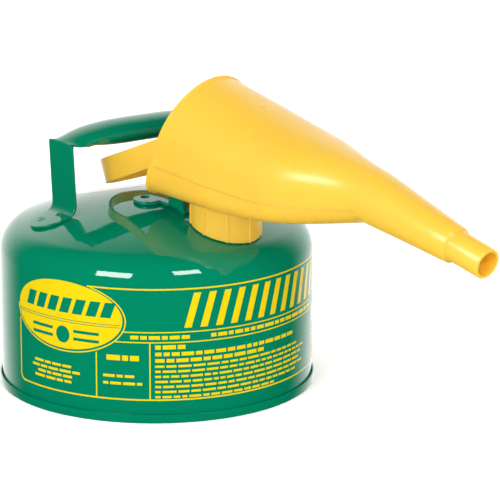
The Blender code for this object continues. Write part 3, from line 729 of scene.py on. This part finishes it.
def lid_pieces():
    """The lid, its seal and washer, and the lever that is riveted to it."""
    over_neck = shift(NECK_X, 0, 0)
    skirt = GASKET_BOTTOM + 0.0001
    top = LID_UNDER + LID_SHEET
    cap = [
        (RIVET_RADIUS + GAP, top),
        (LID_RADIUS, top),
        (LID_RADIUS, skirt),
        (LID_RADIUS - LID_SHEET, skirt),
        (LID_RADIUS - LID_SHEET, LID_UNDER),
        (RIVET_RADIUS + GAP, LID_UNDER),
    ]
    piece("lid_dish", moved(turned(cap, 0.001, 96), over_neck), "green_enamel", "lid", "lid_cap")

    washer_top = GASKET_BOTTOM - GAP
    washer_low = washer_top - 0.0015
    gasket_top = GASKET_BOTTOM + GASKET_SHEET
    hole = RIVET_RADIUS + GAP

    def disc(name, radius, low, high, slot, node):
        profile = [(radius, high), (radius, low), (hole, low), (hole, high)]
        piece(name, moved(turned(profile, 0.0004, 72), over_neck), slot, "lid", node)

    seal_radius = LIP_RADIUS - 0.0002
    disc("seal", seal_radius, GASKET_BOTTOM, gasket_top, "black_rubber", "lid_gasket")
    disc("seal_washer", 0.014, washer_low, washer_top, "plated_steel", "gasket_washer")

    rivet_top = LEVER_Z + LEVER_SHEET / 2 + GAP
    rivet_low = washer_low - GAP
    rivet = [
        (0, rivet_top + 0.0018),
        (0.0030, rivet_top + 0.0015),
        (0.0048, rivet_top + 0.0004),
        (0.0048, rivet_top),
        (RIVET_RADIUS, rivet_top),
        (RIVET_RADIUS, rivet_low),
        (0.0042, rivet_low),
        (0.0042, rivet_low - 0.0012),
        (0, rivet_low - 0.0012),
    ]
    piece("rivet", moved(turned(rivet, 0.0003, 40), over_neck), "plated_steel", "lid", "lid_rivet")

    line = rounded_line([(NECK_X + 0.015, LEVER_Z), (0.0255, LEVER_Z), (0.0130, 0.1770)], 0.006)
    strap = plate([ribbon(line, LEVER_SHEET)], LEVER_WIDTH)
    moved(strap, turn(90, "X"))
    barrel = rod(EAR_RADIUS - 0.0013, 2 * EAR_MIDDLE - EAR_SHEET - 2 * GAP)
    moved(barrel, turn(90, "X"), shift(HINGE_X, 0, HINGE_Z))
    bore = moved(rod(PIN_RADIUS + GAP, 0.06), turn(90, "X"), shift(HINGE_X, 0, HINGE_Z))
    lever = boolean(boolean(strap, barrel, "UNION"), bore)
    piece("lever", lever, "plated_steel", "lid", "lid_lever")


# The funnel


def smooth_step(share):
    share = min(max(share, 0), 1)
    return share * share * (3 - 2 * share)


def between(keys, share):
    """A value read between (share, value) keys, each stretch eased at both ends."""
    for (start, first), (end, second) in zip(keys, keys[1:]):
        if share <= end:
            return first + (second - first) * smooth_step((share - start) / (end - start))
    return keys[-1][1]


def bell_point(share, outset, angle):
    """A point on the funnel's bell, at this share of its length and this far off its outer face."""
    level = Vector((math.sin(NOZZLE_DROP), 0, math.cos(NOZZLE_DROP)))
    low = MOUTH_BOTTOM.lerp(NOZZLE_START - level * NOZZLE_RADIUS, share)
    low.z -= BELL_SAG * math.sin(math.pi * share**1.3)
    high = MOUTH_TOP.lerp(NOZZLE_START + level * NOZZLE_RADIUS, share)
    high.z -= BELL_DIP * math.sin(math.pi * share)
    rise = (high - low) / 2
    half_width = between(BELL_HALF_WIDTHS, share)
    up, side = math.cos(angle), math.sin(angle)
    corner = BELL_SQUARENESS if up < 0 else BELL_ROUNDNESS
    squareness = corner + (2 - corner) * share**3
    swell = (abs(up) ** squareness + abs(side) ** squareness) ** (-1 / squareness)
    shrink_up = 1 + outset / rise.length
    shrink_side = 1 + outset / half_width
    width = Vector((0, side * swell * half_width * shrink_side, 0))
    return (low + high) / 2 + rise * (up * swell * shrink_up) + width


def bell_ring(share, outset):
    return [bell_point(share, outset, 2 * math.pi * i / BELL_SIDES) for i in range(BELL_SIDES)]


def nozzle_ring(at, radius):
    """A ring round the nozzle, this far along it from where the bell ends."""
    along = Vector((math.cos(NOZZLE_DROP), 0, -math.sin(NOZZLE_DROP)))
    level = Vector((math.sin(NOZZLE_DROP), 0, math.cos(NOZZLE_DROP)))
    angles = [2 * math.pi * i / BELL_SIDES for i in range(BELL_SIDES)]
    middle = NOZZLE_START + along * at
    aside = Vector((0, 1, 0))
    return [middle + (level * math.cos(a) + aside * math.sin(a)) * radius for a in angles]


def mouth_block(past):
    """A block that fills everything behind the mouth's plane, or past it by this much."""
    rise = MOUTH_TOP - MOUTH_BOTTOM
    block = box((-0.2, -0.1, -0.1), (past, 0.1, 0.2))
    return moved(block, turn(math.degrees(math.atan2(rise.x, rise.z)), "Y"), shift(*MOUTH_BOTTOM))


def funnel_hood():
    """Bell and nozzle in one skin, open below for the neck and the hinge."""
    bead = [
        (0.000, BEAD - 0.0008),
        (0.0006, BEAD - 0.0003),
        (0.002, BEAD),
        (0.011, BEAD),
        (0.0128, BEAD - 0.0005),
        (0.0150, 0.0006),
        (0.0175, 0.0001),
    ]
    body = [0.02 + 0.98 * i / BELL_STATIONS for i in range(BELL_STATIONS + 1)]
    outer = [bell_ring(share, outset) for share, outset in bead]
    outer += [bell_ring(share, 0) for share in body]
    wall = FUNNEL_WALL
    narrowing = STEP_RADIUS - NOZZLE_RADIUS
    spout = [
        (0.02, NOZZLE_RADIUS + narrowing * 0.26),
        (0.05, NOZZLE_RADIUS + narrowing * 0.65),
        (STEP_AT - 0.0012, STEP_RADIUS + 0.0001),
        (STEP_AT - 0.0004, STEP_RADIUS - 0.0003),
        (STEP_AT, STEP_RADIUS - 0.0009),
        (STEP_AT + 0.0006, TIP_RADIUS + 0.0006),
        (STEP_AT + 0.0016, TIP_RADIUS + 0.0003),
        (TIP_AT - 0.0005, TIP_RADIUS),
        (TIP_AT, TIP_RADIUS - 0.0004),
        (TIP_AT, TIP_RADIUS - wall),
        (STEP_AT + 0.003, TIP_RADIUS - wall),
        (STEP_AT - 0.003, STEP_RADIUS - wall - 0.0004),
        (0.02, NOZZLE_RADIUS + narrowing * 0.26 - wall),
    ]
    outer += [nozzle_ring(at, radius) for at, radius in spout]
    inner = [bell_ring(share, -wall) for share in [*body[::-1], 0.012, 0.001, 0]]
    hood = loft(outer + inner, looped=True)
    hole = moved(rod(COLLAR_BORE, 0.02, 96), shift(NECK_X, 0, COLLAR_TOP))
    hood = boolean(hood, hole)
    low = (0, -COLLAR_SLOT_HALF, COLLAR_TOP - 0.02)
    high = (NECK_X, COLLAR_SLOT_HALF, COLLAR_TOP + 0.006)
    hood = boolean(hood, box(low, high))
    nodes = ("funnel_bell", "funnel_nozzle")
    piece("funnel_hood", hood, "yellow_plastic", "funnel", *nodes, sharp=40)

    for name, side in (("right", 1), ("left", -1)):
        shares = [0.02 + 0.975 * i / 60 for i in range(61)]
        line = [bell_point(share, -0.00022, side * PARTING_ANGLE) for share in shares]
        piece(f"parting_line_{name}", wire(line, 0.0004), "yellow_plastic", "funnel")


def funnel_collar():
    """The ribbed sleeve round the neck, open at the back and trimmed to the dome."""
    low, high = COLLAR_BOTTOM, COLLAR_TOP + 0.006
    profile = [(COLLAR_RADIUS, high), (COLLAR_RADIUS, low), (COLLAR_BORE, low), (COLLAR_BORE, high)]
    collar = moved(turned(profile, 0.0001, 128), shift(NECK_X, 0, 0))
    for i in range(COLLAR_RIBS):
        angle = math.radians(-120 + 240 * i / (COLLAR_RIBS - 1))
        spot = Vector((math.cos(angle), math.sin(angle), 0)) * COLLAR_RADIUS
        rib = moved(rod(RIB_RADIUS, high - low - 0.0001, 16), shift(NECK_X, 0, (low + high) / 2))
        collar = boolean(collar, moved(rib, shift(*spot)), "UNION")
    slot = box((0, -COLLAR_SLOT_HALF, low - 0.01), (NECK_X, COLLAR_SLOT_HALF, high + 0.01))
    collar = boolean(collar, slot)
    shares = [i / 24 for i in range(25)]
    block = loft([bell_ring(share, -FUNNEL_WALL / 2) for share in shares], looped=False)
    collar = boolean(collar, block)
    reach = 0.118
    steps = 24
    across = [reach * i / steps for i in range(steps + 1)]
    dome = [(x, crown_height(x, 0, COLLAR_TRIM)) for x in across]
    collar = boolean(collar, turned([*dome, (reach, 0.09), (0, 0.09)], 0, 128))
    piece("funnel_sleeve", collar, "yellow_plastic", "funnel", "funnel_collar")


def funnel_hoop():
    """The band from both sides of the mouth, round under the grip."""
    rear = arc((0, 0), HOOP_RADIUS, 80, 280, 72)
    side = MOUTH_HALF_WIDTH - 0.001
    line = [(HOOP_REACH, side), *rear, (HOOP_REACH, -side)]
    band = plate([ribbon(line, FUNNEL_WALL)], HOOP_HEIGHT)
    moved(band, turn(-math.degrees(HOOP_TILT), "Y"), shift(*HOOP_CENTRE))
    band = boolean(band, mouth_block(0.0008), "INTERSECT")
    piece("funnel_band", band, "yellow_plastic", "funnel", "funnel_hoop", sharp=40)


# The print on the wall, where plain shapes stand for the lettering


def printed(name, strips, material, lift):
    """Thin shapes on the wall. A strip is a list of (lower, upper) points, each (arc, height)."""
    shape = bmesh.new()

    def on_wall(point, off):
        angle = point[0] / WALL_RADIUS - CAMERA_TURN_FROM_FRONT
        radius = WALL_RADIUS + off
        return shape.verts.new((radius * math.cos(angle), radius * math.sin(angle), point[1]))

    for strip in strips:
        rows = []
        for low, high in strip:
            face = [on_wall(low, lift), on_wall(high, lift)]
            rows.append(face + [on_wall(high, -PRINT_DEPTH), on_wall(low, -PRINT_DEPTH)])
        for first, second in zip(rows, rows[1:]):
            for i in range(4):
                j = (i + 1) % 4
                shape.faces.new((first[i], first[j], second[j], second[i]))
        shape.faces.new(rows[0])
        shape.faces.new(rows[-1][::-1])
    piece(name, mesh_of(shape), "green_enamel", "can", material=material, sharp=30)


def bar(x0, x1, z0, z1, slant=0.0):
    """A filled bar, cut into columns narrow enough to follow the wall."""
    count = max(1, math.ceil(abs(x1 - x0) / PRINT_COLUMN))
    xs = [x0 + (x1 - x0) * i / count for i in range(count + 1)]
    return [((x, z0), (x + slant, z1)) for x in xs]


def stroke(points, width):
    """A line of this width through points, mitred at its corners."""
    points = [Vector(p) for p in points]
    fine = [points[0]]
    for first, second in zip(points, points[1:]):
        count = max(1, math.ceil((second - first).length / PRINT_COLUMN))
        fine += [first.lerp(second, i / count) for i in range(1, count + 1)]
    strip = []
    for i, point in enumerate(fine):
        along = fine[min(i + 1, len(fine) - 1)] - fine[max(i - 1, 0)]
        across = Vector((-along.y, along.x)).normalized() * width / 2
        strip.append((tuple(point - across), tuple(point + across)))
    return strip


def oval(centre_x, centre_z, half_x, half_z, steps=72):
    """A filled oval, as columns."""
    strip = []
    for i in range(steps + 1):
        share = -math.cos(math.pi * (0.01 + 0.98 * i / steps))
        reach = half_z * math.sqrt(1 - share * share)
        x = centre_x + half_x * share
        strip.append(((x, centre_z - reach), (x, centre_z + reach)))
    return strip


def oval_line(centre_x, centre_z, half_x, half_z, start, end, width):
    angles = [math.radians(start + (end - start) * i / 90) for i in range(91)]
    points = [(centre_x + half_x * math.cos(a), centre_z + half_z * math.sin(a)) for a in angles]
    return stroke(points, width)


def dashes(rng, x0, x1, z, height):
    """A row of short bars in place of a line of small print."""
    row = []
    x = x0
    while x < x1 - DASH_SHORTEST:
        end = min(x + rng.uniform(DASH_SHORTEST, DASH_LONGEST), x1)
        row.append(bar(x, end, z - height / 2, z + height / 2))
        x = end + DASH_GAP
    return row


def wall_print():
    """A frame of lines, an oval on its left, slanted bars along its top and rows of dashes."""
    rng = random.Random(7)
    left, right = -0.1122, 0.2620
    top, bottom = 0.0968, 0.0169
    corner = 0.005
    frame_line = [
        (left, 0.0625),
        *arc((left + corner, bottom + corner), corner, 180, 270, 8),
        *arc((right - corner, bottom + corner), corner, 270, 360, 8),
        *arc((right - corner, top - corner), corner, 0, 90, 8),
        (-0.0465, top),
    ]
    strips = [
        stroke(frame_line, 0.0011),
        stroke([(-0.0212, 0.0659), (right, 0.0659)], 0.0008),
        stroke([(-0.0265, 0.0586), (right, 0.0586)], 0.0008),
        stroke([(-0.0399, 0.0500), (-0.0399, bottom)], 0.0009),
        stroke([(-0.0015, 0.0586), (-0.0015, bottom)], 0.0009),
        oval_line(*OVAL, -180, 62, 0.0009),
        oval(OVAL[0] - 0.0004, OVAL[1] + 0.0004, OVAL[2] - 0.0016, OVAL[3] - 0.0014),
    ]
    x = 0.0225
    while x < right - 0.014:
        strips.append(bar(x, x + 0.0052, 0.0689, 0.0938, slant=0.0070))
        x += 0.0115
    # Where each row of dashes starts and ends, its height on the wall and its thickness
    rows = (
        (-0.0151, 0.0264, 0.0622, 0.0026),
        (0.0419, 0.1530, 0.0622, 0.0026),
        (0.0022, 0.0275, 0.0552, 0.0030),
        (0.0022, 0.1195, 0.0502, 0.0026),
        (0.0022, 0.0894, 0.0455, 0.0026),
        (-0.0323, -0.0077, 0.0470, 0.0038),
        (-0.0349, -0.0121, 0.0337, 0.0019),
        (-0.0349, -0.0069, 0.0284, 0.0019),
        (-0.0944, -0.0554, 0.0360, 0.0018),
        (-0.0970, -0.0529, 0.0322, 0.0018),
        (-0.0911, -0.0580, 0.0286, 0.0018),
        (-0.0943, -0.0555, 0.0249, 0.0018),
        (0.1650, 0.2480, 0.0622, 0.0026),
    )
    for x0, x1, z, height in rows:
        strips += dashes(rng, x0, x1, z, height)
    for i, end in enumerate((0.1254, 0.1400, 0.1310, 0.1290, 0.1370, 0.1260, 0.0960)):
        z = 0.0413 - 0.0037 * i
        strips += dashes(rng, 0.0021, end, z, 0.0016)
        strips += dashes(rng, 0.1560, 0.2480 - rng.uniform(0, 0.02), z, 0.0016)
    printed("wall_print", strips, PRINT, PRINT_LIFT)

    marks = [
        stroke([(-0.1118, 0.0703), (-0.0222, 0.0703)], 0.0004),
        stroke([(-0.1114, 0.0686), (-0.0226, 0.0686)], 0.0004),
        oval(-0.0668, 0.0592, 0.0058, 0.0062, 24),
    ]
    for i in range(7):
        x = (11 * i - 103) / 1000
        marks.append(bar(x, x + 0.0078, 0.0752, 0.0862, slant=0.004))
    for way in (-1, 1):
        for z in (0.0637, 0.0582):
            marks.append(bar(-0.0668 + way * 0.0090, -0.0668 + way * 0.029, z, z - 0.0022))
    printed("oval_marks", marks, GREEN, PRINT_LIFT * 1.6)


def dome_patch():
    """A pale oval printed on the back of the dome."""
    middle = Vector((-0.0480, -0.0040))
    spin = Matrix.Rotation(math.radians(47), 2)
    around = arc((0, 0), 1, 0, 360, 60)[:-1]
    rim = [tuple(middle + spin @ Vector((0.024 * x, 0.0125 * y))) for x, y in around]
    sheet = draped(plate([rim], PRINT_LIFT, 0.00003), 0.00002, 0.003)
    piece("dome_patch", sheet, "green_enamel", "can", material=PATCH, sharp=60)


can_shell()
can_base()
carrying_handle()
weld_marks()
spout_neck()
hinge_bracket()
hinge_pin()
lid_spring()
lid_pieces()
funnel_hood()
funnel_collar()
funnel_hoop()
wall_print()
dome_patch()

# The flame arrester shows as model.glb has it, in the finish of the other steel pieces
for name in ("arrester_screen", "arrester_rim", "arrester_cap", "arrester_clip"):
    for material_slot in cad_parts[name].material_slots:
        material_slot.material = STEEL


# The floor, the light and the camera


def white_floor():
    """A white ground that takes shadows. The object doesn't mirror it."""
    shape = bmesh.new()
    bmesh.ops.create_grid(shape, x_segments=1, y_segments=1, size=6)
    floor = bpy.data.objects.new("floor", mesh_of(shape))
    bpy.context.scene.collection.objects.link(floor)
    material = bpy.data.materials.new("white_floor")
    material.use_nodes = True
    tree = material.node_tree
    tree.nodes.remove(tree.nodes["Principled BSDF"])
    path = tree.nodes.new("ShaderNodeLightPath")
    choose = tree.nodes.new("ShaderNodeMix")
    choose.data_type = "RGBA"
    choose.inputs["A"].default_value = (*[FLOOR_LIGHTING] * 3, 1)
    choose.inputs["B"].default_value = (*[FLOOR_SEEN] * 3, 1)
    tree.links.new(path.outputs["Is Camera Ray"], choose.inputs["Factor"])
    matt = tree.nodes.new("ShaderNodeBsdfDiffuse")
    tree.links.new(choose.outputs["Result"], matt.inputs["Color"])
    tree.links.new(matt.outputs["BSDF"], tree.nodes["Material Output"].inputs["Surface"])
    floor.data.materials.append(material)
    floor.visible_glossy = False


def direction(turn_right, rise):
    """A direction from the object, in degrees to the camera's right and above the floor."""
    angle = CAMERA_TURN + math.radians(turn_right)
    up = math.radians(rise)
    return Vector((math.sin(angle) * math.cos(up), -math.cos(angle) * math.cos(up), math.sin(up)))


def softbox(name, turn_right, rise, size, power, mirrored):
    """An area light that the object only mirrors, or that only lights it."""
    data = bpy.data.lights.new(name, "AREA")
    data.shape = "RECTANGLE"
    data.size, data.size_y = size
    data.energy = power
    lamp = bpy.data.objects.new(name, data)
    bpy.context.scene.collection.objects.link(lamp)
    towards = direction(turn_right, rise)
    lamp.location = Vector((CAN_X, 0, 0.1)) + towards * LAMP_DISTANCE
    lamp.rotation_mode = "QUATERNION"
    lamp.rotation_quaternion = towards.to_track_quat("Z", "Y")
    lamp.visible_glossy = mirrored
    lamp.visible_diffuse = not mirrored
    lamp.visible_camera = False


def surroundings():
    """White to the camera. The object mirrors it white behind and dark on the camera's side.

    It lights the object most from the horizon.
    """
    world = bpy.data.worlds.new("surroundings")
    bpy.context.scene.world = world
    world.use_nodes = True
    tree = world.node_tree
    background = tree.nodes["Background"]
    place = tree.nodes.new("ShaderNodeTexCoord")

    def ramp(towards, start, end, low, high):
        """A strength that turns from low to high as a direction comes round to this one."""
        facing = tree.nodes.new("ShaderNodeVectorMath")
        facing.operation = "DOT_PRODUCT"
        facing.inputs[1].default_value = towards
        tree.links.new(place.outputs["Generated"], facing.inputs[0])
        node = tree.nodes.new("ShaderNodeMapRange")
        node.interpolation_type = "SMOOTHSTEP"
        node.inputs["From Min"].default_value = start
        node.inputs["From Max"].default_value = end
        node.inputs["To Min"].default_value = low
        node.inputs["To Max"].default_value = high
        tree.links.new(facing.outputs["Value"], node.inputs["Value"])
        return node.outputs["Result"]

    behind = ramp(direction(180, 0), 0.42, 0.88, DARK_MIRRORED, WHITE_MIRRORED)
    above_floor = ramp((0, 0, 1), -0.75, -0.40, 0.1, 1)
    skylight = ramp((0, 0, 1), 0, 1, LIT_FROM_HORIZON, LIT_FROM_OVERHEAD)
    mirrored = tree.nodes.new("ShaderNodeMath")
    mirrored.operation = "MULTIPLY"
    tree.links.new(behind, mirrored.inputs[0])
    tree.links.new(above_floor, mirrored.inputs[1])
    path = tree.nodes.new("ShaderNodeLightPath")
    softened = tree.nodes.new("ShaderNodeMix")
    tree.links.new(path.outputs["Is Diffuse Ray"], softened.inputs["Factor"])
    tree.links.new(mirrored.outputs["Value"], softened.inputs["A"])
    tree.links.new(skylight, softened.inputs["B"])
    choose = tree.nodes.new("ShaderNodeMix")
    tree.links.new(path.outputs["Is Camera Ray"], choose.inputs["Factor"])
    tree.links.new(softened.outputs["Result"], choose.inputs["A"])
    choose.inputs["B"].default_value = WHITE_SEEN
    tree.links.new(choose.outputs["Result"], background.inputs["Strength"])
    background.inputs["Color"].default_value = (1, 1, 1, 1)


def camera():
    data = bpy.data.cameras.new("camera")
    data.lens = LENS
    data.clip_end = 20
    obj = bpy.data.objects.new("camera", data)
    bpy.context.scene.collection.objects.link(obj)
    obj.location = CAMERA
    aim = (TARGET - CAMERA).to_track_quat("-Z", "Y").to_matrix()
    obj.rotation_euler = (aim @ Matrix.Rotation(CAMERA_ROLL, 3, "Z")).to_euler()
    bpy.context.scene.camera = obj


white_floor()
surroundings()
softbox("left_highlight", -30.3, 24, (0.88, 0.58), 28, mirrored=True)
softbox("right_highlight", 25, 34, (0.62, 0.46), 15, mirrored=True)
softbox("left_fill", -31, 24, (0.75, 0.35), 9.6, mirrored=False)
softbox("right_fill", 25, 34, (0.62, 0.32), 8, mirrored=False)
softbox("low_fill", -5, 4, (1.6, 0.8), 10, mirrored=False)
camera()
bpy.context.scene.view_settings.view_transform = "Standard"
